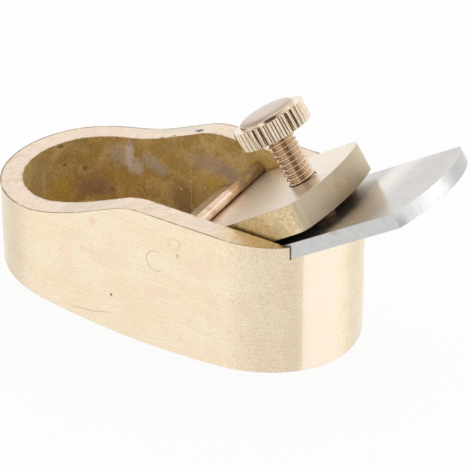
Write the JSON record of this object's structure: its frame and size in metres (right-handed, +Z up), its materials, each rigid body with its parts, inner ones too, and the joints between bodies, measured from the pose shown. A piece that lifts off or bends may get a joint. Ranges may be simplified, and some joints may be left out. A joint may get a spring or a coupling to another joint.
{
  "type": "thumb plane",
  "caption": "Palm-sized brass bench plane with a sole curved both ways, a blade on a sloping bed, a lever cap, a cross pin and a fluted thumb screw.",
  "frame": {"origin": "under the middle of the plane's whole length and width, at the lowest point of the sole", "axes": "+X from the toe to the heel, +Y across the body, +Z up from the sole"},
  "size_m": [0.0754, 0.0284, 0.0419],
  "materials": {
    "body": "satin, brushed",
    "blade": "satin, ground",
    "lever_cap": "satin, brushed along its length",
    "cross_pin": "polished",
    "thumb_screw": "polished",
    "thumb_knob": "polished"
  },
  "bodies": {
    "plane_body": {"body": "body", "cross_pin": "cross_pin"},
    "iron": {"blade": "blade"},
    "cap": {"lever_cap": "lever_cap"},
    "screw": {"thumb_screw": "thumb_screw"},
    "knob": {"thumb_knob": "thumb_knob"}
  },
  "joints": [
    {"name": "blade_slide", "type": "slide", "parent": "plane_body", "child": "iron", "axis": [0.8443, 0, 0.5358], "range_m": [-0.001, 0.045]},
    {"name": "cap_slide", "type": "slide", "parent": "plane_body", "child": "cap", "axis": [0.8443, 0, 0.5358], "range_m": [0, 0.02]},
    {"name": "screw_feed", "type": "slide", "parent": "cap", "child": "screw", "axis": [-0.5548, 0, 0.832], "range_m": [0, 0.0056]},
    {"name": "knob_turn", "type": "hinge", "parent": "screw", "child": "knob", "pos_m": [0.01355, 0, 0.02969], "axis": [-0.5548, 0, 0.832], "range_deg": [0, 2520]}
  ],
  "couplings": [
    {"joint": "knob_turn", "follows": "screw_feed", "rad_per_m": 7854}
  ]
}
